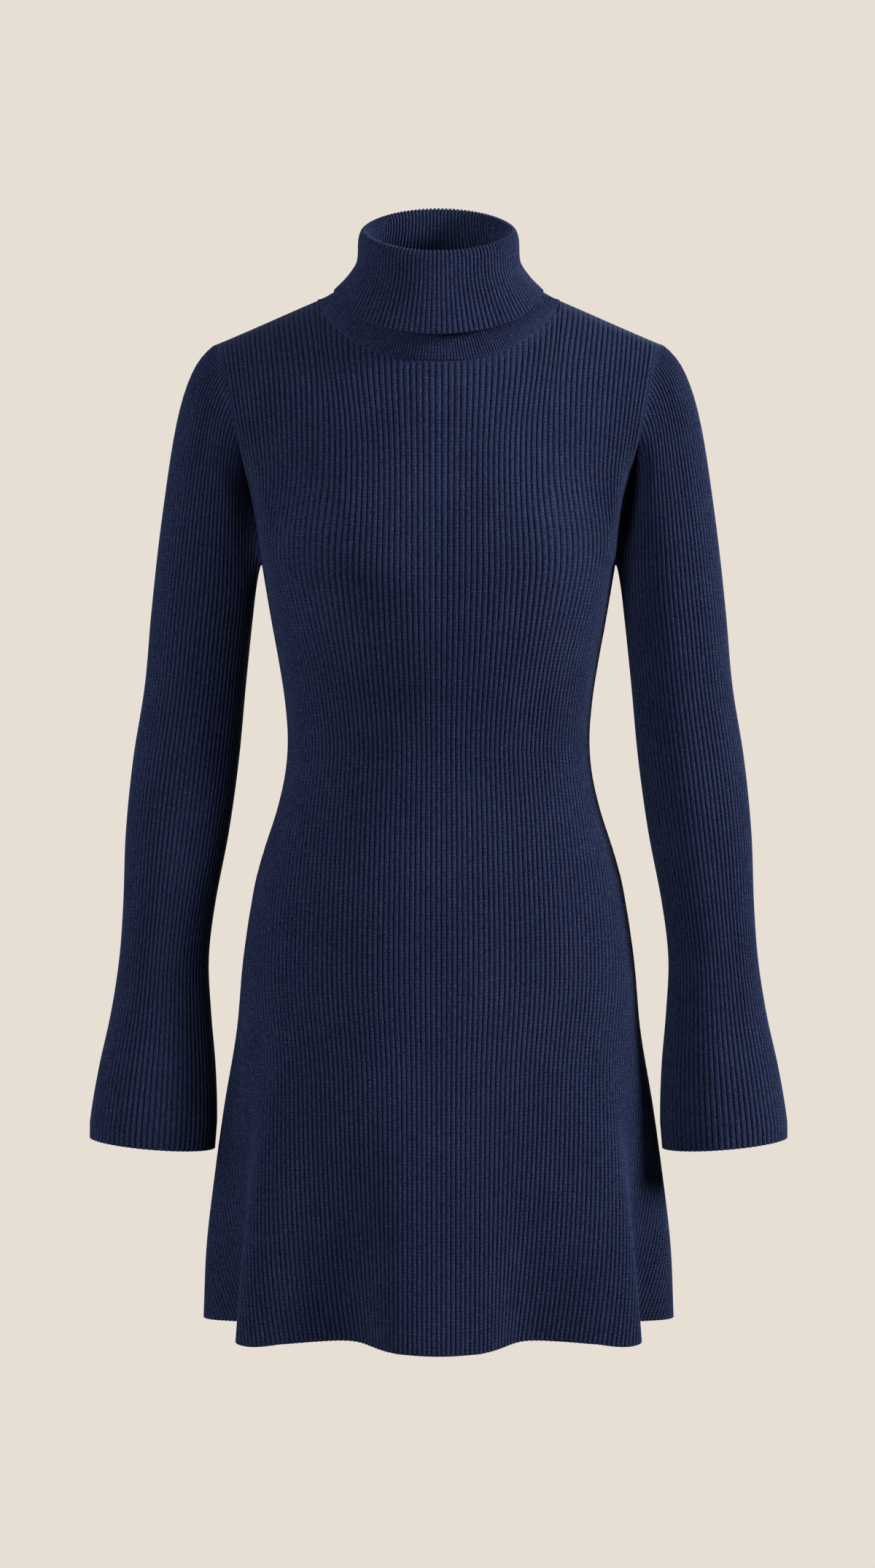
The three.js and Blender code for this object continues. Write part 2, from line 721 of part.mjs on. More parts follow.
function sleeve(mirrored) {
  const corners = [];
  const rows = {};
  for (const side of ["ribbed", "plain"]) {
    rows[side] = [
      seamRow(side),
      ...CAP_STEPS.slice(1).map((rise) => sleeveRow(capPoint, rise, [0, 1], side)),
      ...ARM_HEIGHTS.map((height) => sleeveRow(armDown, -height, [-ARM[0].height, -CUFF], side)),
      sleeveRow(cuffPoint, 1, [0, 1], side),
    ];
  }
  addWall(corners, rows.ribbed, rows.plain);
  addStrip(corners, rows.plain[0], rows.ribbed[0]);
  addStrip(corners, rows.ribbed.at(-1), rows.plain.at(-1));
  const placed = mirrored ? corners.map(({ x, y, z }) => new THREE.Vector3(-x, y, z)) : corners;
  return geometryOf(placed, mirrored);
}

const armDown = (rib, depth) => armPoint(rib, -depth);

// A point in the middle of the collar's cloth. Step 0 is the neckline seam and the last step the free edge.
function collarPoint(rib, step) {
  return loopPoint(collarAt(step), (rib / RIBS_IN_COLLAR) * 2 * Math.PI);
}

function collarRow(step, side) {
  const last = COLLAR.length - 1;
  const pace = side === "plain" && step > 0 && step < last ? INNER_STEP : 1;
  const row = [];
  for (let rib = 0; rib <= RIBS_IN_COLLAR; rib += pace) {
    const turn = rib % RIBS_IN_COLLAR;
    const normal = normalOf(collarPoint, turn, step, [-RIBS_IN_COLLAR, RIBS_IN_COLLAR], [0, last]).negate();
    const middle = collarPoint(turn, step);
    if (step === 0) {
      const seam = necklineAt((turn / RIBS_IN_COLLAR) * 2 * Math.PI);
      normal.copy(seam.normal).negate();
      middle.copy(seam.point);
      middle.addScaledVector(normal, CLOTH / 2).addScaledVector(seam.away, SEAM_GAP / 2);
    }
    const point = middle.addScaledVector(normal, CLOTH / 2);
    const shift = new THREE.Vector3();
    row.push({ place: rib, point: wallPoint({ point, normal, shift }, side, crest(rib)) });
  }
  return row;
}

function collar() {
  const corners = [];
  const rows = {};
  for (const side of ["ribbed", "plain"]) rows[side] = COLLAR.map((_, step) => collarRow(step, side));
  addWall(corners, rows.ribbed, rows.plain);
  addStrip(corners, rows.plain[0], rows.ribbed[0]);
  addStrip(corners, rows.ribbed.at(-1), rows.plain.at(-1));
  return geometryOf(corners, true);
}

function piece(name, geometry) {
  const material = new THREE.MeshStandardMaterial({ color: KNIT_NAVY, roughness: 0.95, metalness: 0 });
  const mesh = new THREE.Mesh(geometry, material);
  mesh.name = name;
  return mesh;
}

const group = new THREE.Group();
group.add(
  piece("front_panel", panel("front")),
  piece("back_panel", panel("back")),
  piece("left_sleeve", sleeve(false)),
  piece("right_sleeve", sleeve(true)),
  piece("turtleneck_collar", collar()),
);

export default group;
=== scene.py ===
"""A short sweater dress in rib knit, filled out as it is when worn.

Sizes are in millimetres until a mesh is made.
"""

import math

import bmesh
import bpy
import numpy as np
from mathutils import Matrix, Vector


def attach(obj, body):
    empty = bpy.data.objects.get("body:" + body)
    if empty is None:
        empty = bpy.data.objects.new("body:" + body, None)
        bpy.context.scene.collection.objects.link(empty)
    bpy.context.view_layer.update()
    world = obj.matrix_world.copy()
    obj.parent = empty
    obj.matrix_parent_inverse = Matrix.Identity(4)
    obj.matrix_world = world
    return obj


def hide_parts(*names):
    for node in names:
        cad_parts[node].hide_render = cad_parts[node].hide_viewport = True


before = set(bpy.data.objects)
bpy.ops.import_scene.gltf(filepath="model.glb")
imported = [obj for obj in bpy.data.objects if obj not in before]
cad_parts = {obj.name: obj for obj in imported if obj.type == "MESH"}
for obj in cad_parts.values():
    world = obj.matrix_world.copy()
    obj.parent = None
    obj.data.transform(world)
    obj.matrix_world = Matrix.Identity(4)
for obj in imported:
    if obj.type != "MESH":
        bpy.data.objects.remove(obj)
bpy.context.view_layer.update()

MM = 0.001

# Cloth: its thickness at a rib's crest, and how deep the grooves are on the side that shows and in the collar
CLOTH = 2.6
RIB_DEPTH = 1.5
FINE_DEPTH = 0.9
RIB_ROUNDING = 2.2

# Seams: the gap between two pieces, how far and how wide the cloth is pulled in, and what is left of the ribs
SEAM_GAP = 0.04
SEAM_PULL = 0.15
SEAM_REACH = 4.0
SEAM_RELIEF = 0.55

# Edges sharper than this angle stay sharp, and points nearer than this distance are one
RIM_ANGLE = math.radians(65)
MERGED = 0.01

# Ribs of the knit in half a panel, in a sleeve and in the collar
RIBS_AT_WAIST = 44
RIBS_TO_ARMHOLE = 40
RIBS_TO_NECK = 20
RIBS_IN_SLEEVE = 68
RIBS_IN_COLLAR = 120

# Columns of points to a rib, ribs to a column on the plain side, and the distance between rows
COLUMNS = 5
COLLAR_COLUMNS = 8
PLAIN_RIBS = 0.5
ROW_STEP = 8

# Heights that divide the body
UNDERARM = -219
WAIST = -362
HEM = -839


def reader(along, names, rows):
    """A function that reads a table anywhere along its first column, by smooth curves through its rows."""
    table = np.array(rows, float)
    table = table[np.argsort(table[:, 0])]
    key = table[:, 0]
    last = len(key) - 1
    before = table[np.maximum(np.arange(last + 1) - 1, 0)]
    after = table[np.minimum(np.arange(last + 1) + 1, last)]
    slopes = (after - before) / (after - before)[:, :1]

    def read(place):
        place = np.asarray(place, float)
        i = np.clip(np.searchsorted(key, place, side="right") - 1, 0, last - 1)
        span = key[i + 1] - key[i]
        t = np.clip((place - key[i]) / span, 0, 1)
        blend = t * t * (3 - 2 * t)
        values = {}
        for column, name in enumerate(names, start=1):
            low, high = table[i, column], table[i + 1, column]
            bend = span * t * (1 - t) * ((1 - t) * slopes[i, column] - t * slopes[i + 1, column])
            values[name] = low * (1 - blend) + high * blend + bend
        return values

    return read


# Plan sections of the body: half its width, and its depth before and behind the side seams
body_at = reader(
    "height",
    ["half_width", "front", "back"],
    [
        [UNDERARM, 143.6, 115, 94],
        [-258, 136.9, 112, 92],
        [-300, 129.4, 104, 86],
        [-330, 125, 97, 82],
        [WAIST, 122.9, 92, 80],
        [-392, 125.6, 93, 83],
        [-422, 132.8, 95, 90],
        [-452, 142.6, 98, 97],
        [-481, 150.4, 101, 103],
        [-541, 159.9, 106, 110],
        [-601, 165.6, 112, 116],
        [-661, 175.7, 120, 123],
        [-720, 184.1, 128, 131],
        [-780, 191.2, 135, 139],
        [HEM, 194, 141, 147],
    ],
)
SECTION_POWER = 2.15

# The front swells over the chest on each side of the centre line: its place, its reach and its depth
CHEST = {"across": 80, "height": -190, "inward": 80, "outward": 60, "above": 95, "below": 64, "depth": 10}

# The ribs bow outward round that swell and lie closer above it: by how many ribs, round which rib and height
BOWS = [
    {"ribs": 3.3, "rib": 32, "inward": 20, "outward": 8, "height": -200, "above": 66, "below": 110},
    {"ribs": -1.4, "rib": 20, "inward": 20, "outward": 18, "height": -95, "above": 84, "below": 130},
]

# Rib pitch below the waist
PITCH_START = -422
pitch_at = reader("height", ["pitch"], [[PITCH_START, 4.1], [-541, 4.25], [-630, 3.95], [HEM, 3.85]])

# Soft folds of the skirt: angle from the centre line, half width, depth at the hem, height where each begins
FOLDS = {
    "front": [
        [0, 22, 5, -640],
        [34, 22, -25, -640],
        [57, 14, 11, -560],
        [73, 14, -28, -570],
    ],
    "back": [
        [0, 16, -12, -640],
        [24, 14, 9, -600],
        [46, 17, -20, -630],
        [66, 12, 10, -570],
        [79, 10, -16, -590],
    ],
}
FOLD_RISE = 1.3
FOLD_END = 4

# The hem lies higher in the hollow folds and lower on the ridges, and this fades out above it
HEM_LIFT = 3
HEM_DROP = 3
HEM_LIFT_REACH = 60

# Shoulder seam from the neck to the armhole, and the share of the way up to its line where the neckline cuts
NECK_POINT = np.array([98.0, 4.0, -5.0])
SHOULDER_POINT = np.array([180.0, 4.0, -39.0])
NECK_CUT = {"front": {"depth": 0.345, "power": 1}, "back": {"depth": 0.22, "power": 0.8}}
NECK_TILT = {"front": 22, "side": 67.5, "back": 36}
LOOP_POWER = 1.2
ROOF_ROUNDING = 25

# How far the cloth at the armhole seam leans out towards the sleeve, at the underarm and at the shoulder
SEAM_LEAN = {"underarm": 0.25, "shoulder": 0.7}

# How each rib leaves the underarm section and reaches the line of the shoulder seam
leaving_at = reader(
    "rib",
    ["rise", "forward", "spread"],
    [
        [0, 54, 3, 0],
        [20, 54, 4, 3],
        [30, 50, 14, 5],
        [36, 38, 30, 7],
        [40, 31, 42, 7],
    ],
)
arriving_at = {
    "front": reader(
        "rib",
        ["drop", "forward", "inward"],
        [
            [-10, 40, 80, 0],
            [0, 49, 89, 0],
            [10, 40, 80, 0],
            [20, 22, 64, 0],
            [30, 13, 58, 2],
            [40, 9, 54, 3],
        ],
    ),
    "back": reader(
        "rib",
        ["drop", "forward", "inward"],
        [
            [-10, 4, 88, 0],
            [0, 12, 104, 0],
            [10, 4, 88, 0],
            [20, 7, 66, 0],
            [30, 8, 56, 2],
            [40, 9, 52, 3],
        ],
    ),
}

# The cloth sinks in where sleeve and chest meet before the underarm: how deep, how wide and at what height
CREASE = {
    "depth": 36,
    "inward": 14,
    "outward": 20,
    "height": -168,
    "above": 66,
    "below": 56,
    "whole_from": -30,
}

# Sleeve: plan sections from the foot of the cap to the cuff
CAP_FOOT = -258
ARM_TOP = -317
CUFF_START = -675
CUFF = -692.5
arm_at = reader(
    "height",
    ["centre", "half_width", "half_depth", "set_back"],
    [
        [CAP_FOOT, 192, 41.6, 45, 2],
        [ARM_TOP, 197.8, 41.2, 44, 1],
        [-377, 205.6, 43.2, 43, -1],
        [-437, 213, 42.1, 41, -4],
        [-496, 219.9, 37.6, 38, -7],
        [-541, 224.3, 36.7, 36, -9],
        [-586, 227, 41.2, 40, -10],
        [-631, 230.3, 48, 45, -11],
        [CUFF_START, 233.6, 52.2, 48, -12],
        [CUFF, 234.6, 51.4, 48, -12],
    ],
)
CUFF_SLANT = 4.5
CUFF_LIFT = 3
CUFF_ROWS = 3

# Cap of the sleeve: guides of its curves at the armhole and at its foot, and how evenly its ribs are spread
CAP_START = 0.165
CAP_END = 0.5
CAP_SHARE = 0.64

# The ribs of the cap run up to the armhole seam at a slant: by how many ribs, and how far down the cap
CAP_SLANT = 4.5
CAP_SLANT_REACH = 0.5

# Collar: loops of the middle of its cloth, from the neckline up inside, over the rim and down outside
COLLAR_LOOPS = [
    [97.3, -70.2, 4, 62, -48.4, -6.2, 3],
    [87, -68.5, 3, 61, -37, -3.2, 12],
    [74, -65.5, 2, 59, -22, 2.5, 23],
    [64, -62, 1, 57, -4, 11, 35],
    [58.6, -58.6, 0, 55.4, 16, 25, 49],
    [56.8, -56.6, 0, 54, 30.5, 44.5, 62],
    [60.4, -60.2, 0, 57.6, 35, 50.5, 66.5],
    [63.4, -64.4, 0, 61.4, 29.5, 43.5, 60.5],
    [64.8, -69, 0, 65, 13, 25, 45],
    [73, -76, 0, 72, -8, 12, 28],
    [83.7, -84, 0, 80, -29, 1.6, 13],
]
collar_at = reader(
    "step",
    ["half_width", "front", "side", "back", "front_height", "side_height", "back_height"],
    [[step, *loop] for step, loop in enumerate(COLLAR_LOOPS)],
)
COLLAR_END = len(COLLAR_LOOPS) - 1
COLLAR_ROWS = 44
COLLAR_STEP_LENGTH = 17

# Rough sizes that set how far rows are apart and where a seam's pull ends
RIB_PITCH = 4.2
YOKE_LENGTH = 210
CAP_LENGTH = 150
EDGE_RIBS = 2
EDGE_RISE = 0.08

# How far the shoulders and the caps of the sleeves are drawn in, from where on and in whole from where
drawn_in_at = reader(
    "height", ["by"], [[-270, 0], [-215, 0.9], [-150, 2.6], [-76, 2.9], [-46, 3.3], [-17, 4.2], [20, 4.4]]
)
DRAWN_FROM = 90
DRAWN_WHOLE = 190

# Stitches: the height of one, how it slants, its depth and the painted shade between them, and where in a rib
# the painted shade of the groove is
STITCH = 2.9
STITCH_SLANT = 0.9
STITCH_DEPTH = 0.35
STITCH_SHADE = 0.6
STITCH_BUMP = 0.7
FUZZ_BUMP = 0.5
BUMP_STRENGTH = 0.6
GROOVE_FROM = 0.24
GROOVE_TO = 0.48
UNEVEN_RIBS = 0.5

# Noise to the metre for uneven ribs, flecks, clouds and nap, and what of it turns the yarn from dark to light
UNEVEN_SCALE = 260.0
FLECK_SCALE = 900.0
CLOUD_SCALE = 25.0
FUZZ_SCALE = 2200.0
FLECK_SHARE = 0.88
CLOUD_SHARE = 0.12
YARN_FROM = 0.4
YARN_TO = 0.6
DARK_YARN = (0.0008, 0.0015, 0.0054, 1.0)
LIGHT_YARN = (0.004, 0.0054, 0.013, 1.0)
# Painted shade: the near-black colour put into the grooves between the ribs and between the stitches
GROOVE_PAINTED_SHADE = (0.0003, 0.0006, 0.0025, 1.0)
YARN_FINISH = {
    "Roughness": 0.9,
    "Specular IOR Level": 0.01,
    "Sheen Weight": 0.03,
    "Sheen Roughness": 0.45,
    "Sheen Tint": (0.35, 0.45, 0.9, 1.0),
}

# Camera and light, in metres. The frame's height is measured on the plane of the side seams.
SENSOR = 0.036
FRAME_HEIGHT = 1.278
AIM = (-0.0009, 0.0, -0.398)
CAMERA_AWAY = 4.2
CAMERA_HEIGHT = 0.127
PAPER = (0.8, 0.738, 0.659, 1.0)
PAPER_FINISH = {
    "Base Color": (0.0, 0.0, 0.0, 1.0),
    "Specular IOR Level": 0.0,
    "Emission Color": PAPER,
    "Emission Strength": 1.0,
}
FLOOR = -1.3
FLOOR_RADIUS = 3.0
FLOOR_CORNERS = 96
LIGHTS = {
    "key": {"place": (-1.6, -2.8, 0.3), "size": 1.2, "power": 430},
    "right": {"place": (2.9, -0.9, 0.9), "size": 0.9, "power": 1280},
    "left": {"place": (-2.9, -1.3, 0.6), "size": 1.2, "power": 210},
    "back": {"place": (0.8, 3.0, 0.4), "size": 1.2, "power": 260},
}
LIGHT_TARGET = (0, 0, -0.38)
LIGHT_COLOR = (1.0, 0.99, 0.97)

# Points to a quarter of a plan section, the share of a range that normals are taken over, a length above 0
SECTION_STEPS = 240
NUDGE = 1e-3
TINY = 1e-9

# The way out of the dress along Y
SIGN = {"front": -1, "back": 1}


def unit(vectors):
    """The vectors made 1 long."""
    length = np.linalg.norm(vectors, axis=-1, keepdims=True)
    return vectors / np.maximum(length, TINY)


def joined(x, y, z):
    """Vectors from their three parts."""
    return np.stack(np.broadcast_arrays(x, y, z), axis=-1).astype(float)


def fold_depth(face, angle, height):
    """How far the folds move points of the skirt in or out, at angles in degrees from the centre line."""
    total = np.zeros_like(angle, dtype=float)
    for middle, spread, depth, start in FOLDS[face]:
        grown = np.clip((start - height) / (start - HEM), 0, 1) ** FOLD_RISE
        across = np.clip((angle - middle) / spread, -1, 1)
        total += depth * grown * np.cos(across * math.pi / 2) ** 2
    return total


def quarter(face, height):
    """A quarter of a plan section from the centre line to the side seam, and its length so far at each."""
    size = body_at(height)
    angle = np.linspace(0, 90, SECTION_STEPS + 1)
    sine = np.sin(np.radians(angle))
    cosine = np.cos(np.radians(angle))
    cosine[-1] = 0
    ends = (sine / size["half_width"]) ** SECTION_POWER + (cosine / size[face]) ** SECTION_POWER
    reach = ends ** (-1 / SECTION_POWER)
    reach = reach + fold_depth(face, angle, height) * np.minimum(1, (90 - angle) / FOLD_END)
    points = joined(reach * sine, SIGN[face] * reach * cosine, height)
    steps = np.linalg.norm(np.diff(points, axis=0), axis=1)
    return points, np.concatenate([[0], np.cumsum(steps)])


def ribs_at(face, height):
    """The number of ribs of the knit between the centre line and the side seam."""
    if height >= WAIST:
        return RIBS_AT_WAIST
    around = quarter(face, height)[1][-1]
    waist_pitch = quarter(face, WAIST)[1][-1] / RIBS_AT_WAIST
    if height > PITCH_START:
        share = (WAIST - height) / (WAIST - PITCH_START)
        return around / (waist_pitch + (float(pitch_at(PITCH_START)["pitch"]) - waist_pitch) * share)
    return around / float(pitch_at(height)["pitch"])


def hill(off, before, after):
    """1 where the number is 0, falling smoothly to 0 at a reach below it and a reach above it."""
    return np.cos(np.clip(off / np.where(off > 0, after, before), -1, 1) * math.pi / 2) ** 2


def swollen(face, points):
    """Moves points of the front out by the swell of the chest."""
    if face == "front":
        across = hill(np.abs(points[..., 0]) - CHEST["across"], CHEST["inward"], CHEST["outward"])
        along = hill(points[..., 2] - CHEST["height"], CHEST["below"], CHEST["above"])
        points[..., 1] -= CHEST["depth"] * across * along
    return points


def bowed(face, rib, height):
    """The ribs of the pattern, in ribs evenly apart, where they bow round the swell of the chest."""
    routed = rib
    if face == "front":
        for bow in BOWS:
            across = hill(np.abs(rib) - bow["rib"], bow["inward"], bow["outward"])
            along = hill(height - bow["height"], bow["below"], bow["above"])
            routed = routed + np.sign(rib) * bow["ribs"] * across * along
    return routed


def body_point(face, share, height):
    """Points of the body below the underarm, by their share of the way from centre line to side seam."""
    return swollen(face, section_point(face, share, height))


def section_point(face, share, height):
    """The same without the swell of the chest."""
    points, lengths = quarter(face, height)
    length = np.minimum(np.abs(share), 1) * lengths[-1]
    x = np.interp(length, lengths, points[:, 0]) * np.sign(share)
    y = np.interp(length, lengths, points[:, 1])
    return joined(x, y, height)


def loop_point(loop, angle):
    """Points on a loop round the neck. Angle 0 is its front, 90 degrees its +X side, 180 degrees its back."""
    ahead = np.cos(angle) > 0
    share = np.abs(np.cos(angle))
    end = np.where(ahead, loop["front"], loop["back"])
    end_height = np.where(ahead, loop["front_height"], loop["back_height"])
    return joined(
        loop["half_width"] * np.sin(angle),
        loop["side"] + (end - loop["side"]) * share,
        loop["side_height"] + (end_height - loop["side_height"]) * share**LOOP_POWER,
    )


def shoulder_line(rib):
    """Where ribs reach the line of the shoulder seam, which runs on over the neck to a rounded top."""
    closer = (2 * NECK_POINT[0] - SHOULDER_POINT[0]) / (2 * RIBS_TO_NECK**2)
    x = rib * (NECK_POINT[0] / RIBS_TO_NECK + closer * (RIBS_TO_NECK - rib))
    width = SHOULDER_POINT[0] - NECK_POINT[0]
    share = (x - NECK_POINT[0]) / width
    points = NECK_POINT + (SHOULDER_POINT - NECK_POINT) * np.asarray(share)[..., None]
    rounded = x + (np.hypot(x, ROOF_ROUNDING) - x) * np.clip(-share, 0, 1)
    fall = (SHOULDER_POINT[2] - NECK_POINT[2]) / width
    points[..., 2] = NECK_POINT[2] + fall * (rounded - NECK_POINT[0])
    return points


def cut_share(face, rib):
    """The share of the way up to that line where ribs end."""
    across = np.minimum(np.abs(rib) / RIBS_TO_NECK, 1)
    cut = NECK_CUT[face]
    return 1 - cut["depth"] * (1 - across**2) ** (cut["power"] / 2)


def bezier(a, b, c, d, t):
    """Points on smooth curves with two end points and two guides."""
    t = np.asarray(t, float)[..., None]
    s = 1 - t
    return a * s**3 + b * 3 * s * s * t + c * 3 * s * t * t + d * t**3


def yoke_surface(face, rib, rise):
    """Points of the yoke, on ribs that run from the underarm section to the line of the shoulder seam."""
    rib, rise = np.broadcast_arrays(np.asarray(rib, float), np.asarray(rise, float))
    place = np.abs(rib)
    foot = section_point(face, place / RIBS_AT_WAIST, UNDERARM)
    top = shoulder_line(place)
    leave = leaving_at(place)
    arrive = arriving_at[face](place)
    low = foot + joined(leave["spread"], SIGN[face] * leave["forward"], leave["rise"])
    high = top + joined(-arrive["inward"], SIGN[face] * arrive["forward"], -arrive["drop"])
    points = bezier(foot, low, high, top, rise)
    points[..., 0] *= np.where(rib < 0, -1, 1)
    return swollen(face, points)


def yoke_point(face, rib, rise):
    """The same, with the rise measured to where the rib ends."""
    return yoke_surface(face, rib, rise * cut_share(face, rib))


def normal_of(surface, a, b, a_range, b_range):
    """Normals of a surface that is given as a function of two numbers."""
    a_step = (a_range[1] - a_range[0]) * NUDGE
    b_step = (b_range[1] - b_range[0]) * NUDGE
    across = surface(np.minimum(a + a_step, a_range[1]), b) - surface(np.maximum(a - a_step, a_range[0]), b)
    along = surface(a, np.minimum(b + b_step, b_range[1])) - surface(a, np.maximum(b - b_step, b_range[0]))
    return unit(np.cross(across, along))


def body_normal(face, share, height):
    """The outward normals at points of the body."""
    heights = (HEM, UNDERARM)
    normal = normal_of(lambda s, h: body_point(face, s, h), share, height, (-1, 1), heights) * -SIGN[face]
    normal[np.abs(share) >= 1, 1] = 0
    return unit(normal)


def yoke_normal(face, rib, rise):
    """The outward normals at points of the yoke."""
    share = rise * cut_share(face, rib)
    ends = (-RIBS_TO_ARMHOLE, RIBS_TO_ARMHOLE)
    return normal_of(lambda r, t: yoke_surface(face, r, t), rib, share, ends, (0, 1)) * -SIGN[face]


def neckline_point(angle):
    """Points of the neckline seam at angles from its front."""
    rib = RIBS_TO_NECK * np.sin(angle)
    ahead = (np.cos(angle) > 0)[..., None]
    return np.where(ahead, yoke_point("front", rib, 1.0), yoke_point("back", rib, 1.0))


def neckline_at(angle):
    """The neckline seam at angles: its points, the cloth's outward normals, and the way into the collar."""
    point = neckline_point(angle)
    along = unit(neckline_point(angle + NUDGE) - neckline_point(angle - NUDGE))
    tilted = np.where(np.cos(angle) > 0, NECK_TILT["front"], NECK_TILT["back"])
    tilt = np.radians(NECK_TILT["side"] + (tilted - NECK_TILT["side"]) * np.cos(angle) ** 2)
    normal = joined(np.cos(tilt) * np.sin(angle), -np.cos(tilt) * np.cos(angle), np.sin(tilt))
    normal = unit(normal - along * np.sum(normal * along, axis=-1, keepdims=True))
    return point, normal, np.cross(normal, along)


def relief(place):
    """The height of the rib pattern at places counted in ribs, from 0 in a groove to 1 on a crest."""
    off = np.abs(place - np.round(place)) * 2
    return 1 - off**RIB_ROUNDING


def smooth(share):
    """The share, kept from 0 to 1, with a soft start and end."""
    share = np.clip(share, 0, 1)
    return share * share * (3 - 2 * share)


def seam_fade(distance):
    """0 on a seam, rising to 1 a little way from it."""
    return smooth(distance / SEAM_REACH)


class Wall:
    """Gathers the points and faces of one piece of cloth."""

    def __init__(self):
        self.points = []
        self.knit = []
        self.faces = []
        self.count = 0

    def add_grid(self, points, knit):
        """Adds rows and columns of points with their place in the knit. Gives back their numbers."""
        rows, columns = points.shape[:2]
        numbers = np.arange(rows * columns).reshape(rows, columns) + self.count
        self.points.append(points.reshape(-1, 3))
        self.knit.append(knit.reshape(-1, 2))
        quads = [numbers[:-1, :-1], numbers[:-1, 1:], numbers[1:, 1:], numbers[1:, :-1]]
        self.faces += np.stack(quads, axis=-1).reshape(-1, 4).tolist()
        self.count += rows * columns
        return numbers

    def join(self, first, first_places, second, second_places):
        """Adds triangles between two rows of points, each in order of its places."""
        i = 0
        j = 0
        while i < len(first) - 1 or j < len(second) - 1:
            first_next = j == len(second) - 1 or (
                i < len(first) - 1 and first_places[i + 1] <= second_places[j + 1]
            )
            if first_next:
                self.faces.append([int(first[i]), int(first[i + 1]), int(second[j])])
                i += 1
            else:
                self.faces.append([int(first[i]), int(second[j + 1]), int(second[j])])
                j += 1

    def piece(self, name, material):
        """Makes the object, with points that coincide merged."""
        mesh = bpy.data.meshes.new(name)
        points = np.concatenate(self.points)
        share = smooth((np.abs(points[:, 0]) - DRAWN_FROM) / (DRAWN_WHOLE - DRAWN_FROM))
        points[:, 0] -= np.sign(points[:, 0]) * drawn_in_at(points[:, 2])["by"] * share
        points *= MM
        places = np.concatenate(self.knit)
        mesh.from_pydata(points.tolist(), [], self.faces)
        corners = np.concatenate([np.asarray(face) for face in self.faces])
        knit = mesh.uv_layers.new(name="knit")
        knit.data.foreach_set("uv", places[corners].astype(np.float32).ravel())
        work = bmesh.new()
        work.from_mesh(mesh)
        bmesh.ops.remove_doubles(work, verts=work.verts, dist=MERGED * MM)
        bmesh.ops.recalc_face_normals(work, faces=work.faces)
        for face in work.faces:
            face.smooth = True
        for edge in work.edges:
            edge.smooth = edge.calc_face_angle(0.0) < RIM_ANGLE
        work.to_mesh(mesh)
        work.free()
        mesh.materials.append(material)
        made = bpy.data.objects.new(name, mesh)
        bpy.context.scene.collection.objects.link(made)
        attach(made, "root")
        return made


def rows_between(ends, step):
    """Rows from the first end to the last, about a step apart."""
    count = max(1, round(abs(ends[1] - ends[0]) / step))
    return np.linspace(ends[0], ends[1], count + 1)


def rib_columns(end, extra=()):
    """Columns across a panel, with one in each groove, out to a little past its widest row."""
    half = (np.arange(math.ceil(end) * COLUMNS + COLUMNS) + 0.5) / COLUMNS
    half = np.unique(np.concatenate([half[half < end], list(extra), [end]]))
    return np.concatenate([-half[::-1], half])


def plain_columns(end):
    """Columns across the plain side of a panel, evenly apart."""
    half = np.arange(PLAIN_RIBS, end, PLAIN_RIBS)
    return np.concatenate([-half[::-1], [0], half])


def shoulder_normal():
    """The normal that front and back share at the shoulder seam."""
    along = unit(SHOULDER_POINT - NECK_POINT)
    return np.array([-along[2], 0, along[0]])


def mixed(a, b, share):
    """Vectors between two others, by the share of the second."""
    return a + (b - a) * np.asarray(share)[..., None]


class Seam:
    """The armhole seam on the +X side. A turn from 0 to 4 runs from the shoulder point down the front, along
    the front and back halves of the underarm and up the back, one whole number to each stretch."""

    def __init__(self, steps=24, ring_steps=8):
        rise = np.linspace(1, 0, steps, endpoint=False)
        rib = np.linspace(RIBS_TO_ARMHOLE, RIBS_AT_WAIST, ring_steps + 1) / RIBS_AT_WAIST
        end = np.full(steps, float(RIBS_TO_ARMHOLE))
        ring = (rib * RIBS_AT_WAIST - RIBS_TO_ARMHOLE) / (RIBS_AT_WAIST - RIBS_TO_ARMHOLE)
        back_rib = rib[-2::-1]
        back_rise = rise[:0:-1]
        back_end = end[1:]
        self.turn = np.concatenate([1 - rise, 1 + ring, 3 - ring[-2::-1], 3 + back_rise, [4]])
        points = np.concatenate(
            [
                yoke_point("front", end, rise),
                body_point("front", rib, UNDERARM),
                body_point("back", back_rib, UNDERARM),
                yoke_point("back", back_end, back_rise),
            ]
        )
        normals = np.concatenate(
            [
                yoke_normal("front", end, rise),
                body_normal("front", rib, UNDERARM),
                body_normal("back", back_rib, UNDERARM),
                yoke_normal("back", back_end, back_rise),
            ]
        )
        along = unit(np.roll(points, -1, axis=0) - np.roll(points, 1, axis=0))
        outward = points - points.mean(axis=0)
        outward[:, 0] = 0
        height = np.clip(2 * (points[:, 2] - UNDERARM) / (SHOULDER_POINT[2] - UNDERARM), 0, 1)
        lean = SEAM_LEAN["underarm"] + (SEAM_LEAN["shoulder"] - SEAM_LEAN["underarm"]) * height
        normals = normals + unit(outward) * lean[:, None]
        normals[0] = shoulder_normal()
        normals = unit(normals - along * np.sum(normals * along, axis=1, keepdims=True))
        away = unit(np.cross(normals, along))
        closed = [np.concatenate([values, values[:1]]) for values in (points, normals, away)]
        self.points, self.normals, self.away = closed
        steps_along = np.linalg.norm(np.diff(self.points, axis=0), axis=1)
        self.lengths = np.concatenate([[0], np.cumsum(steps_along)])
        self.to_underarm = float(np.interp(2, self.turn, self.lengths))

    def at(self, turn):
        """Points of the seam, the normals that body and sleeve share there, and the ways into the sleeve."""
        values = []
        for table in (self.points, self.normals, self.away):
            values.append(np.stack([np.interp(turn, self.turn, table[:, i]) for i in range(3)], axis=-1))
        return values[0], unit(values[1]), unit(values[2])

    def turn_at(self, length):
        """The turn where the seam has a length so far."""
        return np.interp(length, self.lengths, self.turn)


